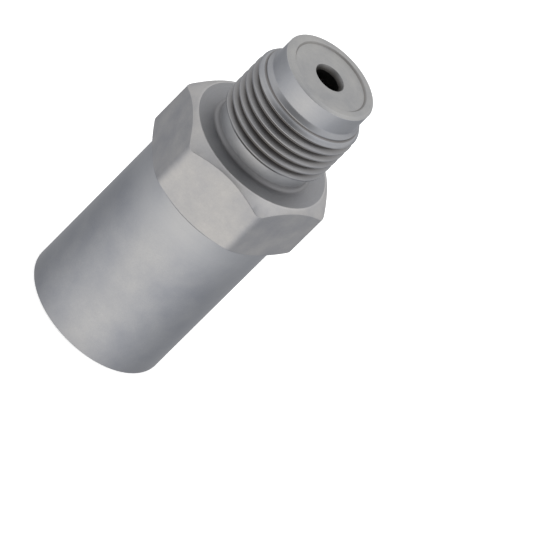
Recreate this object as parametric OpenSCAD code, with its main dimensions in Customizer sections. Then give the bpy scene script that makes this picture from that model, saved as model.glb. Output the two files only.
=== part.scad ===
// Screw-in oil pressure valve: a turned and milled steel cartridge with a sealing nose.
// Origin: centre of the barrel's flat end. +Z runs up the axis to the nose. Millimetres.

/* [Body outside] */
// Outside diameter of the plain barrel
barrel_d = 22.92; // [20:0.02:26]
// Height of the barrel, from the flat end up to the hexagon
barrel_h = 28.5; // [26:0.1:34]
// Width of the hexagon across its flats (24 mm spanner)
hex_af = 23.66; // [23:0.02:24]
// Turned diameter across the hexagon's corners
hex_corner_d = 26.82; // [26:0.02:27.5]
// Height of the hexagon
hex_h = 10.4; // [8:0.1:14]
// Radius where the hexagon's upper chamfer meets the shoulder face
hex_top_r = 11.25; // [10:0.05:11.8]
// Slope of the hexagon's upper chamfer, degrees from the shoulder face
hex_top_slope = 37; // [20:1:50]
// Slope of the hexagon's lower chamfer, degrees from the barrel's end face
hex_foot_slope = 31; // [20:1:50]
// Diameter of the relief neck under the thread
neck_d = 15.8; // [14:0.1:16]
// Fillet at the foot of the neck
neck_fillet = 0.8; // [0.2:0.1:1.2]
// Small edge break on turned edges
edge_break = 0.2; // [0.1:0.05:0.6]

/* [Body thread] */
// Diameter over the thread's crests (M18 x 1.5)
thread_d = 17.88; // [17.6:0.02:18]
// Diameter at the thread's roots
thread_root_d = 16.16; // [16:0.02:16.4]
// Thread pitch, drawn as ring grooves at this spacing
thread_pitch = 1.5; // [1:0.25:2]
// Height of the lowest crest
thread_first_z = 42.4; // [42:0.1:43]
// Number of whole crests
thread_crests = 5; // [4:1:6]
// Half angle of the thread's lead-in cone, degrees from the axis
lead_in_angle = 34; // [25:1:50]

/* [Nose] */
// Overall height
total_h = 54.9; // [52:0.1:58]
// Diameter of the plain nose
nose_d = 15.2; // [14:0.02:16]
// Height at which the thread's lead-in cone meets the nose
nose_foot_z = 51.48; // [51:0.02:52]
// Width of the chamfer on the nose's outer edge
rim_w = 0.5; // [0.2:0.05:1]
// Height of that chamfer
rim_h = 0.3; // [0.1:0.01:0.6]
// Inner radius of the raised sealing lip
lip_inner_r = 6.25; // [5.5:0.05:6.8]
// Radius inside which the face is flat
face_r = 6; // [5:0.05:6.5]
// Depth of the face inside the sealing lip
lip_depth = 0.3; // [0.1:0.05:0.6]
// Radius of the inlet bore
inlet_r = 2.15; // [1.5:0.05:2.5]
// Radius of the inlet's mouth
inlet_mouth_r = 2.45; // [2:0.05:3]
// Depth of the inlet's tapered mouth
inlet_mouth_h = 0.8; // [0.3:0.1:1.5]

/* [Return port] */
// Minor radius of the female thread in the barrel's end (M14 x 1.5)
port_minor_r = 6.19; // [6:0.01:6.4]
// Major radius of that thread
port_major_r = 7.0; // [6.8:0.05:7.2]
// Depth of the first thread crest inside the port
port_first_z = 1.6; // [1.4:0.1:2]
// Depth at which that thread ends
port_h = 8.5; // [7:0.5:9]
// Radius of the relief groove behind the thread
port_relief_r = 7.2; // [7.1:0.1:7.6]

/* [Retaining thread] */
// Minor radius of the inner female thread (M12 x 1)
lock_minor_r = 5.46; // [5.4:0.01:5.6]
// Major radius of that thread
lock_major_r = 6.0; // [5.9:0.05:6.1]
// Pitch of that thread
lock_pitch = 1.0; // [0.75:0.25:1.25]
// Depth of its first crest
lock_first_z = 9.9; // [9.5:0.1:10.5]
// Depth at which that thread ends
lock_h = 13.2; // [12.5:0.1:13.5]

/* [Inside] */
// Depth at which the spring chamber begins
chamber_z = 14.0; // [13.5:0.1:15]
// Radius of the spring chamber
chamber_r = 5.1; // [5:0.05:5.2]
// Height of the shoulder above the spring chamber
chamber_top_z = 33.0; // [32:0.1:34]
// Radius of the pocket for the guide sleeve
guide_r = 4.7; // [4.5:0.1:4.8]
// Height at which the guide sleeve meets the seat
guide_top_z = 37.5; // [36:0.1:39]
// Radius of the pocket for the seat
seat_r = 4.4; // [4.2:0.1:4.6]
// Height of the pocket's closed end
pocket_top_z = 49.0; // [48:0.1:50]
// Thickness of the soft gasket behind the seat
gasket_h = 0.5; // [0.3:0.1:1]
// Radius of the seat's throttle hole
throttle_r = 1.5; // [1:0.1:2]
// Height of the seat cone's small end
seat_edge_z = 44.5; // [44:0.1:45]
// Radius of the closing ball
ball_r = 2.5; // [2:0.1:3]
// Gap between the closed ball and its seat
ball_gap = 0.03; // [0.01:0.01:0.1]
// Radius of the guided piston
piston_r = 3.0; // [2.5:0.1:3.5]
// Radial running gap round the piston
piston_gap = 0.03; // [0.01:0.01:0.1]
// Valve lift from closed to the stop
lift = 1.2; // [0.8:0.1:1.5]
// Radius of the oil passage through piston and spring seats
passage_r = 1.5; // [1:0.1:2]

/* [Spring] */
// Wire diameter of the spring
wire_d = 1.6; // [1:0.1:2]
// Mean radius of the spring's coils
coil_r = 3.95; // [3.8:0.05:4.1]
// Number of turns, with the closed end turns
coil_turns = 5.5; // [4:0.5:7]

/* [Hidden] */
$fn = 96;

hex_z = barrel_h;
shoulder_z = barrel_h + hex_h;
hex_across = hex_af / cos(30);
flank = tan(30);
crest_r = thread_d / 2;
root_r = thread_root_d / 2;
crest_half = thread_pitch / 16 + (9 - crest_r) * flank;
groove_half = crest_half + (crest_r - root_r) * flank;
neck_r = neck_d / 2;
nose_r = nose_d / 2;
last_z = thread_first_z + thread_crests * thread_pitch;
lead_slope = tan(lead_in_angle);

port_turns = floor((port_h - port_first_z) / thread_pitch);
lock_turns = floor((lock_h - lock_first_z) / lock_pitch);

seat_face_z = pocket_top_z - gasket_h;
ball_z = seat_edge_z + throttle_r - (ball_r + ball_gap) * sqrt(2);
ball_cup_gap = 0.01;
cup_r = 2.4;
piston_top_z = ball_z - (ball_r + ball_cup_gap) * sqrt(2) + cup_r;
piston_shoulder_z = 30.8;
plate_h = 1.8;
plate_r = 4.8;
spigot_r = 2.2;
press_gap = 0.01;
collar_r = 3.0;
collar_h = 1.4;
seal_gap = 0.02;

screw_z = 9.7;
screw_major_r = 5.95;
screw_minor_r = 5.35;
screw_key_af = 6;
stack_r = 4.95;
stack_bore_r = 2.0;
shims = [0.5, 0.4, 0.3];
seat_plate_z = chamber_z + shims[0] + shims[1] + shims[2];
seat_plate_h = 1.6;
spring_foot_z = seat_plate_z + seat_plate_h;
spring_top_z = piston_shoulder_z - plate_h;
stop_r = 2.6;
stop_bore_r = 1.6;
stop_foot_z = spring_foot_z - 0.6;
stop_top_z = spring_top_z - collar_h - lift - seal_gap;

STEEL = [0.60, 0.60, 0.61];
HARD = [0.42, 0.42, 0.44];
SPRING = [0.30, 0.30, 0.32];
COPPER = [0.72, 0.45, 0.30];

// Outline of the external thread's whole crests: rings at the true pitch, from the neck upwards.
function male_rings(count) = [for (i = [0:count - 1], p = [-1, 1, 2, 3])
    let (z = thread_first_z + i * thread_pitch)
    p < 2 ? [crest_r, z + p * crest_half]
        : [root_r, z + (p == 2 ? groove_half : thread_pitch - groove_half)]];

// The lead-in cone's radius, and where the cone cuts a flank that rises from or falls to the root at z.
function cone_r(z) = nose_r + (nose_foot_z - z) * lead_slope;
function rise_z(z) = z + (cone_r(z) - root_r) / (1 / flank + lead_slope);
function fall_z(z) = z - (cone_r(z) - root_r) / (1 / flank - lead_slope);

// Outline of the last crest and groove, which the lead-in cone cuts down.
function lead_in_points() = let (
        top = rise_z(last_z - groove_half), low = fall_z(last_z + groove_half),
        step = rise_z(last_z + thread_pitch - groove_half))
    [[cone_r(top), top], [cone_r(low), low], [root_r, last_z + groove_half],
        [root_r, last_z + thread_pitch - groove_half], [cone_r(step), step], [nose_r, nose_foot_z]];

// Outline of a female thread as rings, from its first crest inwards.
function female_rings(first_z, pitch, turns, minor_r, major_r) = [for (i = [0:turns - 1], p = [0:3])
    let (z = first_z + i * pitch, crest_w = pitch / 4, flank_h = (major_r - minor_r) * flank)
    p == 0 ? [minor_r, z]
        : p == 1 ? [minor_r, z + crest_w]
        : p == 2 ? [major_r, z + crest_w + flank_h]
        : [major_r, z + pitch - flank_h]];

module turned_outside() {
    rotate_extrude() polygon(concat(
        [[0, 0], [barrel_d / 2 - edge_break, 0], [barrel_d / 2, edge_break],
            [barrel_d / 2, hex_z + 1], [hex_top_r - 1, hex_z + 1], [hex_top_r - 1, shoulder_z],
            [neck_r, shoulder_z], [neck_r, thread_first_z - groove_half - 0.3],
            [root_r, thread_first_z - groove_half - 0.1], [root_r, thread_first_z - groove_half]],
        male_rings(thread_crests),
        lead_in_points(),
        [[nose_r, total_h - rim_h], [nose_r - rim_w, total_h], [lip_inner_r, total_h],
            [face_r, total_h - lip_depth], [0, total_h - lip_depth]]));
    difference() {
        translate([0, 0, shoulder_z - 0.1]) cylinder(h = neck_fillet + 0.1, r = neck_r + neck_fillet);
        rotate_extrude() translate([neck_r + neck_fillet, shoulder_z + neck_fillet]) circle(r = neck_fillet);
    }
}

module hexagon() {
    foot_h = (hex_corner_d / 2 - barrel_d / 2) * tan(hex_foot_slope);
    top_h = (hex_corner_d / 2 - hex_top_r) * tan(hex_top_slope);
    intersection() {
        translate([0, 0, hex_z]) cylinder(h = hex_h, d = hex_across, $fn = 6);
        rotate_extrude() polygon([[0, hex_z], [barrel_d / 2, hex_z], [hex_corner_d / 2, hex_z + foot_h],
            [hex_corner_d / 2, shoulder_z - top_h], [hex_top_r, shoulder_z], [0, shoulder_z]]);
    }
}

module bored_inside() {
    rotate_extrude() polygon(concat(
        [[0, -1], [port_major_r + 1.5, -1], [port_minor_r, port_major_r - port_minor_r + 0.5]],
        female_rings(port_first_z, thread_pitch, port_turns, port_minor_r, port_major_r),
        [[port_minor_r, port_first_z + port_turns * thread_pitch], [port_minor_r, port_h],
            [port_relief_r, port_h], [port_relief_r, port_h + 1], [lock_major_r, port_h + 1],
            [lock_minor_r, lock_first_z - 0.05]],
        female_rings(lock_first_z, lock_pitch, lock_turns, lock_minor_r, lock_major_r),
        [[lock_minor_r, lock_first_z + lock_turns * lock_pitch], [lock_minor_r, lock_h],
            [lock_major_r, lock_h], [lock_major_r, chamber_z], [chamber_r, chamber_z],
            [chamber_r, chamber_top_z], [guide_r, chamber_top_z], [guide_r, guide_top_z],
            [seat_r, guide_top_z], [seat_r, pocket_top_z], [inlet_r, pocket_top_z],
            [inlet_r, total_h - lip_depth - inlet_mouth_h],
            [inlet_mouth_r, total_h - lip_depth], [inlet_mouth_r, total_h + 1], [0, total_h + 1]]));
}

module valve_body() {
    color(STEEL) difference() {
        union() {
            turned_outside();
            hexagon();
        }
        bored_inside();
    }
}

module ring(z, h, outer, inner) {
    translate([0, 0, z]) difference() {
        cylinder(h = h, r = outer);
        translate([0, 0, -1]) cylinder(h = h + 2, r = inner);
    }
}

module seat_gasket() {
    color(COPPER) ring(seat_face_z, gasket_h, seat_r - 0.05, inlet_r + 0.3);
}

module seat_insert() {
    chamber = 3.4;
    cone_r = 2.8;
    cone_z = seat_edge_z - (cone_r - throttle_r);
    color(HARD) rotate_extrude() polygon([[throttle_r, seat_edge_z], [cone_r, cone_z], [chamber, cone_z],
        [chamber, guide_top_z], [seat_r - press_gap, guide_top_z], [seat_r - press_gap, seat_face_z - 0.4],
        [seat_r - 0.4, seat_face_z], [inlet_r, seat_face_z], [throttle_r, seat_face_z - 0.6]]);
}

module guide_sleeve() {
    flange_h = 1.6;
    inner = piston_r + piston_gap;
    color(HARD) rotate_extrude() polygon([[inner, chamber_top_z - flange_h + 0.3],
        [inner + 0.3, chamber_top_z - flange_h], [chamber_r - 0.1, chamber_top_z - flange_h],
        [chamber_r - 0.1, chamber_top_z], [guide_r - press_gap, chamber_top_z],
        [guide_r - press_gap, guide_top_z], [inner + 0.3, guide_top_z], [inner, guide_top_z - 0.3]]);
}

module valve_ball() {
    color(HARD) translate([0, 0, ball_z]) sphere(r = ball_r);
}

module valve_piston() {
    hole_r = 0.8;
    hole_z = 39.2;
    spigot_end_z = piston_shoulder_z - plate_h - 0.8;
    color(STEEL) difference() {
        rotate_extrude() polygon([[passage_r, spigot_end_z], [spigot_r - 0.2, spigot_end_z],
            [spigot_r, spigot_end_z + 0.2], [spigot_r, piston_shoulder_z], [piston_r, piston_shoulder_z],
            [piston_r, piston_top_z - 0.2], [piston_r - 0.2, piston_top_z], [cup_r, piston_top_z],
            [passage_r, piston_top_z - (cup_r - passage_r)]]);
        for (turn = [0, 90]) translate([0, 0, hole_z]) rotate([90, 0, turn])
            translate([0, 0, -piston_r - 1]) cylinder(h = 2 * piston_r + 2, r = hole_r);
    }
}

module spring_plate() {
    bore = spigot_r + press_gap;
    low_z = spring_top_z - collar_h;
    color(STEEL) rotate_extrude() polygon([[bore, low_z], [collar_r - 0.3, low_z], [collar_r, low_z + 0.3],
        [collar_r, spring_top_z], [plate_r, spring_top_z], [plate_r, piston_shoulder_z - 0.3],
        [plate_r - 0.3, piston_shoulder_z], [bore, piston_shoulder_z]]);
}

// One wire swept along the coil; both end turns are closed.
module pressure_spring() {
    steps = 22;
    sides = 10;
    wire_r = wire_d / 2;
    height = spring_top_z - spring_foot_z;
    count = coil_turns * steps;
    closed = wire_d + 0.08;
    rise = (height - wire_d - 2 * closed) / (coil_turns - 2);
    function path_z(t) = t < 1 ? wire_r + closed * t
        : t > coil_turns - 1 ? height - wire_r - closed * (coil_turns - t)
        : wire_r + closed + rise * (t - 1);
    points = [for (i = [0:count], k = [0:sides - 1])
        let (turn = 360 * i / steps, side = 360 * (k + 0.5) / sides, r = coil_r + wire_r * cos(side))
        [r * cos(turn), r * sin(turn), path_z(i / steps) + wire_r * sin(side)]];
    walls = [for (i = [0:count - 1], k = [0:sides - 1])
        let (a = i * sides + k, b = i * sides + (k + 1) % sides)
        [a, b, b + sides, a + sides]];
    ends = [[for (k = [sides - 1:-1:0]) k], [for (k = [0:sides - 1]) count * sides + k]];
    color(SPRING) translate([0, 0, spring_foot_z]) polyhedron(points, concat(walls, ends));
}

module stop_sleeve() {
    vent_r = 0.75;
    color(STEEL) difference() {
        ring(stop_foot_z, stop_top_z - stop_foot_z, stop_r, stop_bore_r);
        translate([0, 0, (stop_foot_z + stop_top_z) / 2]) rotate([90, 0, 0])
            translate([0, 0, -stop_r - 1]) cylinder(h = 2 * stop_r + 2, r = vent_r);
    }
}

module spring_seat() {
    bore = stop_r + press_gap;
    collar_z = spring_foot_z + 1.2;
    color(STEEL) rotate_extrude() polygon([[stop_bore_r, seat_plate_z], [stack_r, seat_plate_z],
        [stack_r, spring_foot_z], [collar_r, spring_foot_z], [collar_r, collar_z - 0.15],
        [collar_r - 0.15, collar_z], [bore, collar_z], [bore, stop_foot_z], [stop_bore_r, stop_foot_z]]);
}

module shim_thick() {
    color(HARD) ring(chamber_z, shims[0], stack_r, stack_bore_r);
}

module shim_medium() {
    color(HARD) ring(chamber_z + shims[0], shims[1], stack_r, stack_bore_r);
}

module shim_thin() {
    color(HARD) ring(chamber_z + shims[0] + shims[1], shims[2], stack_r, stack_bore_r);
}

// Hollow screw that holds the spring stack; its rings sit in the retaining thread's grooves.
module retaining_screw() {
    crest = 0.04;
    flank_h = crest + (screw_major_r - screw_minor_r) * flank;
    groove_z = lock_first_z + lock_pitch * 5 / 8;
    rings = [for (i = [0:lock_turns - 1], side = [-1, 1], p = [0, 1])
        let (z = groove_z + i * lock_pitch, out = (side < 0) == (p == 1))
        out ? [screw_major_r, z + side * crest] : [screw_minor_r, z + side * flank_h]];
    color(STEEL) difference() {
        rotate_extrude() polygon(concat(
            [[0, screw_z], [screw_minor_r - 0.3, screw_z], [screw_minor_r, screw_z + 0.3]],
            rings,
            [[screw_minor_r, chamber_z], [0, chamber_z]]));
        translate([0, 0, screw_z - 1]) cylinder(h = 4, d = screw_key_af / cos(30), $fn = 6);
        translate([0, 0, screw_z - 1]) cylinder(h = 7, r = stack_bore_r);
    }
}

valve_body();
seat_gasket();
seat_insert();
guide_sleeve();
valve_ball();
valve_piston();
spring_plate();
pressure_spring();
stop_sleeve();
spring_seat();
shim_thick();
shim_medium();
shim_thin();
retaining_screw();
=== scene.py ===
import math

import bpy
import numpy as np
from mathutils import Matrix, Vector


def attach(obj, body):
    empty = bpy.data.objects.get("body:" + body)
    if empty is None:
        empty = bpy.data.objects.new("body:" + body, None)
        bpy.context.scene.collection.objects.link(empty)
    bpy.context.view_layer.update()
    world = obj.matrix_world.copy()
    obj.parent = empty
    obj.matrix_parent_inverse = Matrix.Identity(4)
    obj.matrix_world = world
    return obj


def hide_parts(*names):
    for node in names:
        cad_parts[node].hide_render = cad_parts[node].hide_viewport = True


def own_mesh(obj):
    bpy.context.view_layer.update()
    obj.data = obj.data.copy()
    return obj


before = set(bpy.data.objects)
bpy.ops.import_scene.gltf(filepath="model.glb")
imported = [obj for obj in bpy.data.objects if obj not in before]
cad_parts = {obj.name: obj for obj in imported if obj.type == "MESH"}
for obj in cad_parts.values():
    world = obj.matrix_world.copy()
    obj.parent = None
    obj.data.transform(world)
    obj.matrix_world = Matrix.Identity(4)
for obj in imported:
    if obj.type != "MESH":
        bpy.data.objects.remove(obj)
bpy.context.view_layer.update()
scene = bpy.context.scene
MM = 0.001

# ---------------------------------------------------------------- sizes, in millimetres, as in the CAD
TOTAL_H = 54.9
BARREL_R, HEX_Z, SHOULDER_Z = 11.46, 28.5, 38.9
APOTHEM, CORNER_R, HEX_TOP_R = 11.83, 13.41, 11.25
FOOT_SLOPE, TOP_SLOPE = math.tan(math.radians(31)), math.tan(math.radians(37))
NECK_R, NECK_FILLET = 7.9, 0.8
THREAD_R, CREST_R, ROOT_R, PITCH, FIRST_Z, CRESTS = 9.0, 8.94, 8.08, 1.5, 42.4, 5
NOSE_R, NOSE_FOOT, LEAD_IN, RIM_W, RIM_H = 7.6, 51.48, math.tan(math.radians(34)), 0.5, 0.3
LIP_R, FACE_R, LIP_DEPTH = 6.25, 6.0, 0.3
INLET_R, MOUTH_R, MOUTH_H = 2.15, 2.45, 0.8
FACE_Z = TOTAL_H - LIP_DEPTH
FLANK = math.tan(math.radians(30))
CREST_HALF = PITCH / 16 + (THREAD_R - CREST_R) * FLANK
GROOVE_HALF = CREST_HALF + (CREST_R - ROOT_R) * FLANK
LAST_Z = FIRST_Z + CRESTS * PITCH
PORT_MINOR, PORT_MAJOR, PORT_FIRST, PORT_TURNS, PORT_END = 6.19, 7.0, 1.6, 4, 8.5
PORT_MOUTH_R, PORT_MOUTH_H, RELIEF_R = 7.5, 1.31, 7.2
LOCK_MINOR, LOCK_MAJOR, LOCK_PITCH, LOCK_FIRST, LOCK_TURNS, LOCK_END = 5.46, 6.0, 1.0, 9.9, 3, 13.2
CHAMBER_Z, CHAMBER_R, CHAMBER_TOP = 14.0, 5.1, 33.0
GUIDE_R, GUIDE_TOP, SEAT_R, POCKET_TOP = 4.7, 37.5, 4.4, 49.0
SPRING_FOOT, SPRING_TOP, COIL_R, WIRE_R, SPRING_TURNS = 16.8, 29.0, 3.95, 0.8, 5.5

# ---------------------------------------------------------------- camera: one flat of the hexagon faces it
ELEVATION, ROLL = math.radians(32.04), math.radians(45.04)
DISTANCE, FOCAL_PX, FRAME_PX, SENSOR = 1.2006, 8496.0, 560.0, 36
TARGET, TARGET_OFF = Vector((0, 0, 0.0272)), (-67.6, 84.9)
forward = Vector((0, math.cos(ELEVATION), -math.sin(ELEVATION)))
level, upward = Vector((1, 0, 0)), Vector((0, math.sin(ELEVATION), math.cos(ELEVATION)))
right = math.cos(ROLL) * level + math.sin(ROLL) * upward
up = -math.sin(ROLL) * level + math.cos(ROLL) * upward
basis = Matrix((right, up, -forward)).transposed()
aim = Vector((TARGET_OFF[0], TARGET_OFF[1], -FOCAL_PX)).rotation_difference(Vector((0, 0, -1))).to_matrix()
cam_data = bpy.data.cameras.new("camera")
cam_data.sensor_width = SENSOR
cam_data.lens = FOCAL_PX / FRAME_PX * SENSOR
cam_data.clip_start, cam_data.clip_end = 0.05, 50
camera = bpy.data.objects.new("camera", cam_data)
scene.collection.objects.link(camera)
camera.matrix_world = Matrix.Translation(TARGET - forward * DISTANCE) @ (basis @ aim).to_4x4()
scene.camera = camera
scene.view_settings.view_transform = "Standard"


# ---------------------------------------------------------------- materials
class Nodes:
    """Short names for building the nodes of one material or world."""

    def __init__(self, owner, shader="Principled BSDF"):
        owner.use_nodes = True
        self.owner = owner
        self.tree = owner.node_tree
        self.shader = self.tree.nodes[shader]

    def add(self, kind, **values):
        node = self.tree.nodes.new(kind)
        for key, value in values.items():
            if hasattr(node, key):
                setattr(node, key, value)
            else:
                node.inputs[key].default_value = value
        return node

    def link(self, a, b):
        self.tree.links.new(a, b)

    def scaled(self, scale):
        """Object coordinates stretched by a scale per axis."""
        coord = self.add("ShaderNodeTexCoord")
        mapping = self.add("ShaderNodeMapping")
        mapping.inputs["Scale"].default_value = scale
        self.link(coord.outputs["Object"], mapping.inputs["Vector"])
        return mapping.outputs["Vector"]

    def turned(self):
        """Coordinates (radius, height), so that a texture runs in rings round the axis."""
        split = self.add("ShaderNodeSeparateXYZ")
        self.link(self.add("ShaderNodeTexCoord").outputs["Object"], split.inputs[0])
        join = self.add("ShaderNodeCombineXYZ")
        self.link(self.radius(split.outputs["X"], split.outputs["Y"]), join.inputs["X"])
        self.link(split.outputs["Z"], join.inputs["Z"])
        return join.outputs[0]

    def radius(self, x, y):
        square = self.math("ADD", self.math("MULTIPLY", x, x), self.math("MULTIPLY", y, y))
        return self.math("SQRT", square, 0.0)

    def noise(self, vector, scale, detail=3.0, rough=0.55):
        node = self.add("ShaderNodeTexNoise", Scale=scale, Detail=detail, Roughness=rough)
        self.link(vector, node.inputs["Vector"])
        return node.outputs["Fac"]

    def spread(self, value, low, high, to_low, to_high):
        node = self.add("ShaderNodeMapRange")
        self.link(value, node.inputs["Value"])
        for key, number in (("From Min", low), ("From Max", high), ("To Min", to_low), ("To Max", to_high)):
            node.inputs[key].default_value = number
        return node.outputs["Result"]

    def step(self, value, low, high):
        """0 below low, 1 above high, with a soft change between."""
        node = self.add("ShaderNodeMapRange", interpolation_type="SMOOTHSTEP")
        self.link(value, node.inputs["Value"])
        node.inputs["From Min"].default_value, node.inputs["From Max"].default_value = low, high
        return node.outputs["Result"]

    def mix(self, factor, a, b):
        node = self.add("ShaderNodeMix", data_type="RGBA")
        self.link(factor, node.inputs["Factor"])
        for socket, value in ((node.inputs[6], a), (node.inputs[7], b)):
            if isinstance(value, tuple):
                socket.default_value = (*value, 1)
            else:
                self.link(value, socket)
        return node.outputs[2]

    def attribute(self, name):
        return self.add("ShaderNodeAttribute", attribute_name=name).outputs["Fac"]

    def math(self, operation, a, b):
        node = self.add("ShaderNodeMath", operation=operation)
        for socket, value in zip(node.inputs, (a, b)):
            if isinstance(value, (int, float)):
                socket.default_value = value
            else:
                self.link(value, socket)
        return node.outputs[0]


# tones of the body's marks: a lighter painted sheen, a dark deposit with painted shade, lighter rubbing with
# a painted highlight
HAZE_AND_SHEEN_TONE, RESIDUE_AND_SHADE_TONE, WEAR_AND_HIGHLIGHT_TONE = (0.450, 0.454, 0.464), (0.060, 0.048, 0.038), (0.50, 0.495, 0.485)


def steel(name, base, rough, grain, turned=True, strength=0.25, marked=False, mottle=0.07):
    """Machined metal: cutting marks in rings or along a face, a fine blasted grain and a mottled tone.
    A marked one also shows the marks that the body's points carry: rubbing with a painted highlight, a dark
    deposit with painted shade, and a hazy rougher skin with a painted sheen."""
    n = Nodes(bpy.data.materials.new(name))
    n.shader.inputs["Metallic"].default_value = 1.0
    coord = n.add("ShaderNodeTexCoord").outputs["Object"]
    marks = n.noise(n.turned() if turned else n.scaled((1, 1, 14)), grain, 4.0, 0.65)
    fine = n.noise(coord, 5200, 2.0, 0.6)
    cloud = n.noise(coord, 210, 5.0, 0.62)
    dark = tuple(c * (1 - mottle * share) for c, share in zip(base, (1.1, 1.0, 0.8)))
    light = tuple(c * (1 + mottle * share) for c, share in zip(base, (1.0, 0.93, 0.72)))
    colour = n.mix(n.spread(cloud, 0.3, 0.7, 0, 1), dark, light)
    colour = n.mix(n.spread(fine, 0.3, 0.7, 0, 0.22), colour, tuple(c * 0.72 for c in base))
    roughness = n.math("ADD", n.spread(cloud, 0.3, 0.7, rough - 0.03, rough + 0.03),
                       n.spread(marks, 0.3, 0.7, -0.03, 0.03))
    if marked:
        # hazy rougher skin with a lighter painted sheen
        haze_and_sheen = n.attribute("haze_and_sheen")
        colour = n.mix(haze_and_sheen, colour, HAZE_AND_SHEEN_TONE)
        roughness = n.math("ADD", roughness, n.spread(haze_and_sheen, 0.0, 0.5, 0.0, 0.14))
        # a dark deposit with painted shade
        colour = n.mix(n.math("MULTIPLY", n.attribute("residue_and_shade"), 0.8), colour, RESIDUE_AND_SHADE_TONE)
        # rubbing with a painted highlight
        wear_and_painted_light = n.math("MULTIPLY", n.attribute("wear_and_highlight"), n.spread(cloud, 0.35, 0.65, 0.1, 0.4))
        colour = n.mix(wear_and_painted_light, colour, WEAR_AND_HIGHLIGHT_TONE)
    n.link(colour, n.shader.inputs["Base Color"])
    n.link(roughness, n.shader.inputs["Roughness"])
    height = n.math("ADD", n.math("MULTIPLY", marks, 0.7), n.math("MULTIPLY", fine, 0.5))
    bump = n.add("ShaderNodeBump", Strength=strength, Distance=0.00002)
    n.link(height, bump.inputs["Height"])
    n.link(bump.outputs["Normal"], n.shader.inputs["Normal"])
    return n.owner


turned_steel = steel("turned_steel", (0.292, 0.298, 0.315), 0.36, 5200, marked=True, mottle=0.11)
milled_steel = steel("milled_steel", (0.360, 0.357, 0.362), 0.50, 900, turned=False, marked=True, mottle=0.15)
# a darker copy of the turned steel: painted shade on the shoulder
shoulder_shade_steel = steel("shoulder_shade_steel", (0.241, 0.243, 0.254), 0.56, 3600, marked=True)
face_steel = steel("face_steel", (0.280, 0.280, 0.283), 0.50, 3600, marked=True, mottle=0.12)
# a lighter copy of the turned steel: a painted highlight on the chamfer
chamfer_highlight_steel = steel("chamfer_highlight_steel", (0.326, 0.320, 0.322), 0.38, 3600, marked=True, mottle=0.15)
# a near-black copy of the steel: painted shade down the inlet bore
bore_shade_steel = steel("bore_shade_steel", (0.09, 0.086, 0.082), 0.42, 5200)
tapped_steel = steel("tapped_steel", (0.25, 0.248, 0.244), 0.42, 5200)
ground_steel = steel("ground_steel", (0.52, 0.52, 0.54), 0.22, 9000, strength=0.12)
plain_steel = steel("plain_steel", (0.46, 0.46, 0.465), 0.38, 6000)
spring_steel = steel("spring_steel", (0.13, 0.125, 0.12), 0.36, 2400, turned=False, strength=0.2)
soft_copper = steel("soft_copper", (0.72, 0.36, 0.22), 0.34, 5000, strength=0.2)

BODY_STEELS = [turned_steel, milled_steel, bore_shade_steel, shoulder_shade_steel, tapped_steel, face_steel,
               chamfer_highlight_steel]
TURNED, MILLED, BORED, SHOULDER, TAPPED, FACE, CHAMFER = range(len(BODY_STEELS))


# ---------------------------------------------------------------- mesh helpers
def angles():
    """Columns round the axis: dense at the hexagon's six corners, even elsewhere."""
    half = [0, 3, 6, 9, 12, 15, 18, 20.5, 22.5, 24, 25, 25.7, 26.3, 26.8, 27.2, 27.6, 28, 28.5, 29.2]
    sector = [-30] + [-x for x in reversed(half[1:])] + half
    return np.radians([x + 30 + 60 * k for k in range(6) for x in sector])


THETA = angles()
COLUMNS = len(THETA)
FROM_FLAT = THETA % math.radians(60) - math.radians(30)


def soft_min(a, b, k):
    h = np.clip(k - np.abs(a - b), 0, None) / k
    return np.minimum(a, b) - h * h * k / 4


class Outline:
    """A closed path of (radius, height) points, each a number or one value per column.
    A point's material is that of the faces after it; if rounded and marked, an outer edge shows rubbing with
    a painted highlight and an inner corner shows painted shade."""

    def __init__(self):
        self.points = []

    def to(self, r, z, round_by=0.0, steps=3, material=TURNED, wear_and_painted_light=True):
        radius, height = (np.broadcast_to(np.asarray(value, float), (COLUMNS,)) for value in (r, z))
        self.points.append((radius, height, round_by, steps, material, wear_and_painted_light))
        return self

    def rows(self):
        """One row per ring: its radii and heights, the material of the faces after it, rubbing with a painted
        highlight, and painted shade.
        """
        out, count = [], len(self.points)
        for i, (r, z, round_by, steps, material, wear_and_painted_light) in enumerate(self.points):
            here = np.stack([r, z], 1)
            if round_by <= 0:
                out.append((here, material, 0.0, 0.0))
                continue
            before = np.stack(self.points[i - 1][:2], 1) - here
            after = np.stack(self.points[(i + 1) % count][:2], 1) - here
            a, b = np.linalg.norm(before, axis=1), np.linalg.norm(after, axis=1)
            t = np.minimum(round_by, 0.48 * np.minimum(a, b))[:, None]
            start, end = here + before / a[:, None] * t, here + after / b[:, None] * t
            turn = float(np.mean(before[:, 1] * after[:, 0] - before[:, 0] * after[:, 1]))
            for k in range(steps + 1):
                s = k / steps
                point = (1 - s) ** 2 * start + 2 * s * (1 - s) * here + s * s * end
                # painted light: a rounded outer edge gets rubbing with a painted highlight, a rounded inner
                # corner gets painted shade
                edge = 1 - abs(2 * s - 1) if wear_and_painted_light else 0.0
                out.append((point, material if k == steps else self.points[i - 1][4],
                            edge if turn > 0 else 0.0, edge if turn < 0 else 0.0))
        return out


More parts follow.
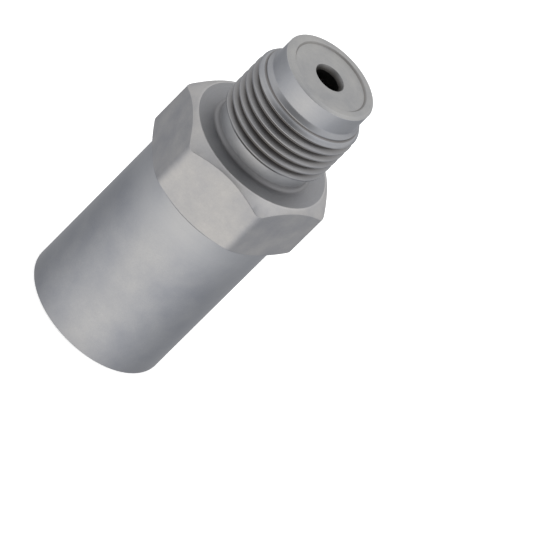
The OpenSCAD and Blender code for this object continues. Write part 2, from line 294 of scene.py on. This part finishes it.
def ring_mesh(name, rows, materials, marks):
    """Joins rows of points round the axis into one closed mesh, with its marks per point: rubbing with a
    painted highlight, a deposit with painted shade, and a hazy skin with a painted sheen.
    """
    count = len(rows)
    points = np.array([row[0] for row in rows])
    verts = np.empty((count, COLUMNS, 3))
    verts[:, :, 0] = points[:, :, 0] * np.cos(THETA)
    verts[:, :, 1] = points[:, :, 0] * np.sin(THETA)
    verts[:, :, 2] = points[:, :, 1]
    faces, slots = [], []
    for i in range(count):
        a, b = i * COLUMNS, ((i + 1) % count) * COLUMNS
        for j in range(COLUMNS):
            k = (j + 1) % COLUMNS
            faces.append((a + j, a + k, b + k, b + j))
            slots.append(rows[i][1])
    mesh = bpy.data.meshes.new(name)
    mesh.from_pydata((verts.reshape(-1, 3) * MM).tolist(), [], faces)
    mesh.polygons.foreach_set("material_index", slots)
    for material in materials:
        mesh.materials.append(material)
    edges = {"wear_and_highlight": [row[2] for row in rows], "residue_and_shade": [row[3] for row in rows]}
    for label, values in marks(points[:, :, 0], points[:, :, 1]).items():
        if label in edges:
            values = np.maximum(values, np.array(edges[label])[:, None])
        layer = mesh.attributes.new(label, "FLOAT", "POINT")
        layer.data.foreach_set("value", values.reshape(-1).astype(np.float32))
    piece = add_piece(name, mesh)
    piece.modifiers.new("weighted", "WEIGHTED_NORMAL").mode = "FACE_AREA"
    return piece


def add_piece(name, mesh):
    mesh.validate()
    mesh.shade_smooth()
    piece = bpy.data.objects.new(name, mesh)
    scene.collection.objects.link(piece)
    return piece


# ---------------------------------------------------------------- valve body
def female_thread(path, first_z, pitch, turns, minor, major, soft):
    """Adds the outline of a female thread, from its top turn down."""
    flank_h = (major - minor) * FLANK
    for i in reversed(range(turns)):
        z = first_z + i * pitch
        for r, height in ((major, z + pitch - flank_h), (major, z + pitch / 4 + flank_h),
                          (minor, z + pitch / 4), (minor, z)):
            path.to(r, height, soft, 2, TAPPED)


def cone_r(z):
    """Radius of the thread's lead-in cone."""
    return NOSE_R + (NOSE_FOOT - z) * LEAD_IN


def lead_in(path):
    """The last crest and groove, which the lead-in cone cuts down, and the cone up to the nose."""
    low_root, high_root = LAST_Z + GROOVE_HALF, LAST_Z + PITCH - GROOVE_HALF
    crest = LAST_Z - GROOVE_HALF
    crest += (cone_r(crest) - ROOT_R) / (1 / FLANK + LEAD_IN)
    fall = low_root - (cone_r(low_root) - ROOT_R) / (1 / FLANK - LEAD_IN)
    step = high_root + (cone_r(high_root) - ROOT_R) / (1 / FLANK + LEAD_IN)
    crown = (crest + fall) / 2 + 0.06  # the cut crest is rounded, with its crown a little above its middle
    path.to(cone_r(crest) + 0.05, crest + 0.03, 0.08, 3).to(cone_r(crown) + 0.12, crown, 0.3, 5, wear_and_painted_light=False)
    path.to(cone_r(fall), fall, 0.1, 2, wear_and_painted_light=False)
    path.to(ROOT_R, low_root, 0.08, 2).to(ROOT_R, high_root, 0.05, 2)
    path.to(cone_r(step), step, 0.03, 2, wear_and_painted_light=False).to(NOSE_R, NOSE_FOOT, 0.12, 3, wear_and_painted_light=False)


def body_outline():
    """Up the outside from the barrel's end to the lip, over the face, and down through the bore."""
    reach = soft_min(APOTHEM / np.cos(FROM_FLAT), CORNER_R, 0.25)
    foot = HEX_Z + (reach - BARREL_R) * FOOT_SLOPE
    top = SHOULDER_Z - (reach - HEX_TOP_R) * TOP_SLOPE
    p = Outline()
    p.to(PORT_MOUTH_R, 0, 0.08)
    p.to(BARREL_R, 0, 0.22, 4)
    for z in (4, 10, 16, 20, 22, 24, 26):  # rings that carry the barrel's painted sheen near the top and painted shade near the foot
        p.to(BARREL_R, z)
    p.to(BARREL_R, HEX_Z, 0.12, 3)
    p.to(reach, foot, 0.12, 3, MILLED)
    p.to(reach, top, 0.10, 3, CHAMFER)
    p.to(HEX_TOP_R, SHOULDER_Z, 0.16, 4, SHOULDER, wear_and_painted_light=False)
    p.to(NECK_R, SHOULDER_Z, NECK_FILLET, 8, wear_and_painted_light=False)
    p.to(NECK_R, FIRST_Z - GROOVE_HALF - 0.3, 0.08, 3)
    p.to(ROOT_R, FIRST_Z - GROOVE_HALF - 0.1, 0.05)
    p.to(ROOT_R, FIRST_Z - GROOVE_HALF, 0.07)
    for i in range(CRESTS):
        z = FIRST_Z + i * PITCH
        p.to(CREST_R, z - CREST_HALF, 0.06, 2)
        p.to(CREST_R, z + CREST_HALF, 0.06, 2)
        p.to(ROOT_R, z + GROOVE_HALF, 0.10, 3)
        p.to(ROOT_R, z + PITCH - GROOVE_HALF, 0.10, 3)
    lead_in(p)
    for r, z, round_by in ((NOSE_R, TOTAL_H - RIM_H, 0.05), (NOSE_R - RIM_W, TOTAL_H, 0.1),
                           (LIP_R, TOTAL_H, 0.08), (FACE_R, FACE_Z, 0.06)):
        p.to(r, z, round_by, 3, FACE, wear_and_painted_light=False)
    for r in (5, 4, 3):  # rings that keep the flat face's quads short
        p.to(r, FACE_Z, material=FACE)
    p.to(MOUTH_R, FACE_Z, 0.10, 4, FACE, wear_and_painted_light=False)
    p.to(INLET_R, FACE_Z - MOUTH_H, 0.1, 3, BORED)
    for r, z in ((INLET_R, POCKET_TOP), (SEAT_R, POCKET_TOP), (SEAT_R, GUIDE_TOP), (GUIDE_R, GUIDE_TOP),
                 (GUIDE_R, CHAMBER_TOP), (CHAMBER_R, CHAMBER_TOP), (CHAMBER_R, CHAMBER_Z),
                 (LOCK_MAJOR, CHAMBER_Z), (LOCK_MAJOR, LOCK_END), (LOCK_MINOR, LOCK_END)):
        p.to(r, z, material=TAPPED)
    female_thread(p, LOCK_FIRST, LOCK_PITCH, LOCK_TURNS, LOCK_MINOR, LOCK_MAJOR, 0.04)
    p.to(LOCK_MINOR, LOCK_FIRST - 0.05, material=TAPPED)
    for r, z, round_by in ((LOCK_MAJOR, PORT_END + 1, 0.04), (RELIEF_R, PORT_END + 1, 0.1),
                           (RELIEF_R, PORT_END, 0.1), (PORT_MINOR, PORT_END, 0.05)):
        p.to(r, z, round_by, 2, TAPPED)
    female_thread(p, PORT_FIRST, PITCH, PORT_TURNS, PORT_MINOR, PORT_MAJOR, 0.06)
    p.to(PORT_MINOR, PORT_MOUTH_H, 0.05, 2)
    return p


def ease(value, low, high):
    """0 at low, 1 at high, with a soft change between."""
    t = np.clip((value - low) / (high - low), 0, 1)
    return t * t * (3 - 2 * t)


# how much of each the zones of the body have, from 0 to 1
# the face gets rubbing with a painted sheen, the cut crest rubbing with a painted highlight
FACE_WEAR_AND_SHEEN, CUT_WEAR_AND_HIGHLIGHT = 0.3, 0.4
# the thread gets a deposit with painted shade; the lip's wall, mouth, fillet and foot get painted shade alone
CREST_RESIDUE_AND_SHADE, GROOVE_RESIDUE_AND_SHADE, LAST_RESIDUE_AND_SHADE, CONE_RESIDUE_AND_SHADE = 0.32, 0.88, 0.7, 0.07
LIP_WALL_SHADE, MOUTH_SHADE, FILLET_SHADE, FOOT_SHADE = 0.6, 0.85, 0.2, 0.1
# hazy rougher skin with a painted sheen
BARREL_HAZE_AND_SHEEN, SHOULDER_HAZE_AND_SHEEN, NECK_HAZE_AND_SHEEN, NOSE_HAZE_AND_SHEEN = 0.35, 0.15, 0.9, 0.17
FOOT_TOP = 4.5


def outside(r):
    return r > BARREL_R - 1.5


def wear_and_painted_highlight(r, z):
    """Rubbing with painted light: on the face round the inlet with a painted sheen, and on the crest that the
    lead-in cone cuts with a painted highlight.
    """
    on_top = (z > FACE_Z - 0.01) & (r > MOUTH_R)
    first_cut = (z > LAST_Z - GROOVE_HALF) & (z < LAST_Z + 0.2) & (r > CREST_R - 0.3) & (r < CREST_R + 0.1)
    return np.where(on_top, FACE_WEAR_AND_SHEEN, CUT_WEAR_AND_HIGHLIGHT * first_cut)


def residue_and_painted_shade(r, z):
    """Darker tone: a deposit with painted shade in the thread's grooves; painted shade alone in the inlet's
    mouth and the neck's fillet, on the lip's wall and at the foot.
    """
    whole = z < LAST_Z - GROOVE_HALF
    thread = (z > FIRST_Z - GROOVE_HALF - 0.2) & (z < LAST_Z + PITCH - GROOVE_HALF + 0.05) & (r > 7.0)
    depth = np.clip((np.where(whole, CREST_R, cone_r(z)) - r) / (CREST_R - ROOT_R) * 1.15, 0, 1)
    least = np.where(whole, CREST_RESIDUE_AND_SHADE, 0)
    dark_amount = np.where(thread, least + (GROOVE_RESIDUE_AND_SHADE - least) * depth, 0)
    last_groove = thread & (z > LAST_Z + CREST_HALF + 0.2) & (cone_r(z) - r > 0.02)
    dark_amount = np.where(last_groove, LAST_RESIDUE_AND_SHADE, dark_amount)
    cone = (z >= LAST_Z - GROOVE_HALF) & (z < NOSE_FOOT - 0.05) & (r < CREST_R) & (r > NOSE_R)
    dark_amount = np.where(cone, np.maximum(dark_amount, CONE_RESIDUE_AND_SHADE), dark_amount)
    # painted shade on the lip's wall, in the mouth and on the fillet
    lip_wall = (r > FACE_R - 0.05) & (r < LIP_R + 0.03) & (z > FACE_Z - 0.01)
    dark_amount = np.where(lip_wall, LIP_WALL_SHADE * ease(TOTAL_H - z, 0.02, 0.12), dark_amount)
    mouth = (r < MOUTH_R + 0.02) & (r > INLET_R - 0.02) & (z > FACE_Z - MOUTH_H - 0.1)
    dark_amount = np.where(mouth, MOUTH_SHADE * ease(FACE_Z - z, 0.0, 0.55), dark_amount)
    fillet = (z < SHOULDER_Z + 0.7) & (z > SHOULDER_Z - 0.01) & (r < NECK_R + NECK_FILLET)
    dark_amount = np.where(fillet, FILLET_SHADE, dark_amount)
    # painted shade at the foot, darker towards the bottom
    return np.where(outside(r) & (z < FOOT_TOP), FOOT_SHADE * (1 - z / FOOT_TOP), dark_amount)


def haze_and_painted_sheen(r, z):
    """Hazy, rougher skin with a lighter painted sheen on the upper barrel, the shoulder, the neck and the
    nose.
    """
    neck = (z > SHOULDER_Z + 0.1) & (z < FIRST_Z - GROOVE_HALF) & (r < NECK_R + NECK_FILLET)
    nose = (z > NOSE_FOOT - 0.1) & (r > NOSE_R - RIM_W)
    haze_and_sheen = np.where(outside(r) & (z < HEX_Z + 0.1), BARREL_HAZE_AND_SHEEN * ease(z, 19, 27), 0)
    haze_and_sheen = np.where(outside(r) & (z > SHOULDER_Z - 0.1), SHOULDER_HAZE_AND_SHEEN, haze_and_sheen)
    neck_haze_and_sheen = NECK_HAZE_AND_SHEEN * ease(z, SHOULDER_Z + 0.2, SHOULDER_Z + 1.2)
    return np.where(neck, neck_haze_and_sheen, np.where(nose, NOSE_HAZE_AND_SHEEN, haze_and_sheen))


def body_marks(r, z):
    """Each point's marks, all of them even round the axis."""
    return {"wear_and_highlight": wear_and_painted_highlight(r, z), "residue_and_shade": residue_and_painted_shade(r, z), "haze_and_sheen": haze_and_painted_sheen(r, z)}


body_rows = body_outline().rows()
body_piece = ring_mesh("valve_body_shell", body_rows, BODY_STEELS, body_marks)
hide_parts("valve_body")
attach(body_piece, "housing")


# ---------------------------------------------------------------- spring: closed, ground end turns
def spring_height(t):
    """Height of the wire's middle after t turns, and the spring's height. Its ends are closed and ground."""
    ground, closed = WIRE_R * 0.5, WIRE_R * 1.75 + 0.08
    height = SPRING_TOP - SPRING_FOOT
    knots_t = [0, 1, SPRING_TURNS - 1, SPRING_TURNS]
    knots_z = [ground, ground + closed, height - ground - closed, height - ground]
    return np.interp(t, knots_t, knots_z), height


def spring_mesh(steps=40, sides=16):
    count = int(SPRING_TURNS * steps)
    t = np.arange(count + 1) / steps
    centre, height = spring_height(t)
    reach = 6
    eased = np.convolve(np.pad(centre, reach, mode="edge"), np.ones(2 * reach + 1) / (2 * reach + 1), "valid")
    eased[:reach + 1], eased[-reach - 1:] = centre[:reach + 1], centre[-reach - 1:]
    turn, side = t * 2 * math.pi, np.arange(sides) * 2 * math.pi / sides
    r = COIL_R + WIRE_R * np.cos(side)[None, :]
    z = np.clip(eased[:, None] + WIRE_R * np.sin(side)[None, :], 0, height) + SPRING_FOOT
    verts = np.stack([r * np.cos(turn)[:, None], r * np.sin(turn)[:, None], z], 2).reshape(-1, 3) * MM
    faces = []
    for i in range(count):
        a, b = i * sides, (i + 1) * sides
        faces += [(a + k, b + k, b + (k + 1) % sides, a + (k + 1) % sides) for k in range(sides)]
    faces += [tuple(range(sides)), tuple(count * sides + k for k in reversed(range(sides)))]
    mesh = bpy.data.meshes.new("pressure_spring_wire")
    mesh.from_pydata(verts.tolist(), [], faces)
    mesh.materials.append(spring_steel)
    return add_piece("pressure_spring_wire", mesh)


spring_piece = spring_mesh()
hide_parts("pressure_spring")
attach(spring_piece, "housing")
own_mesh(spring_piece)

# ---------------------------------------------------------------- carried-over CAD nodes
FINISHES = {
    "seat_gasket": soft_copper, "seat_insert": ground_steel, "guide_sleeve": ground_steel,
    "valve_ball": ground_steel, "valve_piston": ground_steel, "spring_plate": plain_steel,
    "stop_sleeve": plain_steel, "spring_seat": plain_steel, "shim_thick": ground_steel,
    "shim_medium": ground_steel, "shim_thin": ground_steel, "retaining_screw": plain_steel,
    "valve_body": turned_steel, "pressure_spring": spring_steel,
}
for node, material in FINISHES.items():
    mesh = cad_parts[node].data
    mesh.materials.clear()
    mesh.materials.append(material)

# ---------------------------------------------------------------- floor and light
FLOOR_HALF, FLOOR_Z = 4, -0.02 * MM
floor_mesh = bpy.data.meshes.new("floor")
corners = ((-1, -1), (1, -1), (1, 1), (-1, 1))
floor_mesh.from_pydata([(FLOOR_HALF * x, FLOOR_HALF * y, FLOOR_Z) for x, y in corners], [], [(0, 1, 2, 3)])
floor = bpy.data.objects.new("floor", floor_mesh)
scene.collection.objects.link(floor)
paper = Nodes(bpy.data.materials.new("pale_floor"))
paper.shader.inputs["Roughness"].default_value = 0.9
paper.shader.inputs["Specular IOR Level"].default_value = 0.1
paper.shader.inputs["Emission Color"].default_value = (1, 1, 1, 1)
paper.shader.inputs["Emission Strength"].default_value = 0.55
paper_tone = paper.noise(paper.add("ShaderNodeTexCoord").outputs["Object"], 3.0, 2.0)
paper.link(paper.mix(paper_tone, (0.70, 0.70, 0.70), (0.74, 0.74, 0.74)), paper.shader.inputs["Base Color"])
floor_mesh.materials.append(paper.owner)
floor.visible_glossy = False


PATCH_ELEVATION, PATCH_LOSS = math.radians(35), 1.02
SKY_LIGHT, BACK_LOSS, SIDE_LOSS, RIGHT_GAIN = 1.43, 0.24, 0.2, 0.05
GROUND_LIGHT, FRONT_GAIN, FRONT_POWER, WARM_POWER = 0.56, 1.16, 2.2, 4.0


def studio():
    """A light tent. Below level it is brightest and warmest in front. Above level it is bright but for a
    dark patch high in front, and dims towards the back and the sides. The camera sees it as plain white."""
    n = Nodes(bpy.data.worlds.new("studio"), "Background")
    split = n.add("ShaderNodeSeparateXYZ")
    n.link(n.add("ShaderNodeTexCoord").outputs["Generated"], split.inputs[0])
    x, y, z = (split.outputs[axis] for axis in "XYZ")
    frontness = n.math("SUBTRACT", 0.5, n.math("DIVIDE", n.math("MULTIPLY", y, 0.5), n.radius(x, y)))
    in_front = n.math("MULTIPLY", n.math("POWER", frontness, FRONT_POWER), FRONT_GAIN)
    below = n.math("ADD", GROUND_LIGHT, in_front)
    facing = n.math("SUBTRACT", n.math("MULTIPLY", z, math.sin(PATCH_ELEVATION)),
                    n.math("MULTIPLY", y, math.cos(PATCH_ELEVATION)))
    above = n.math("SUBTRACT", SKY_LIGHT, n.math("MULTIPLY", n.step(facing, 0.55, 0.98), PATCH_LOSS))
    above = n.math("SUBTRACT", above, n.math("MULTIPLY", n.math("MAXIMUM", y, 0.0), BACK_LOSS))
    sideways = n.step(n.math("ABSOLUTE", x, 0.0), 0.35, 0.95)
    above = n.math("SUBTRACT", above, n.math("MULTIPLY", sideways, SIDE_LOSS))
    sky = n.step(z, -0.08, 0.04)
    ground = n.math("SUBTRACT", 1.0, sky)
    tent = n.math("ADD", n.math("MULTIPLY", below, ground), n.math("MULTIPLY", above, sky))
    seen = n.add("ShaderNodeLightPath").outputs["Is Camera Ray"]
    tent = n.math("MULTIPLY", tent, n.math("ADD", 1.0, n.math("MULTIPLY", x, RIGHT_GAIN)))
    n.link(n.math("MAXIMUM", tent, seen), n.shader.inputs["Strength"])
    warmth = n.math("MULTIPLY", n.math("POWER", frontness, WARM_POWER), ground)
    cool = n.mix(sky, (0.975, 0.99, 1.03), (1.0, 0.998, 0.995))
    n.link(n.mix(warmth, cool, (1.028, 1.0, 0.955)), n.shader.inputs["Color"])
    return n.owner


scene.world = studio()

light = bpy.data.lights.new("top", "AREA")
light.shape, light.size, light.energy = "DISK", 0.9, 1.5
lamp = bpy.data.objects.new("top", light)
lamp.location = (0.5, 0.3, 1.3)
lamp.rotation_euler = (Vector((0, 0, 0.025)) - lamp.location).to_track_quat("-Z", "Y").to_euler()
scene.collection.objects.link(lamp)
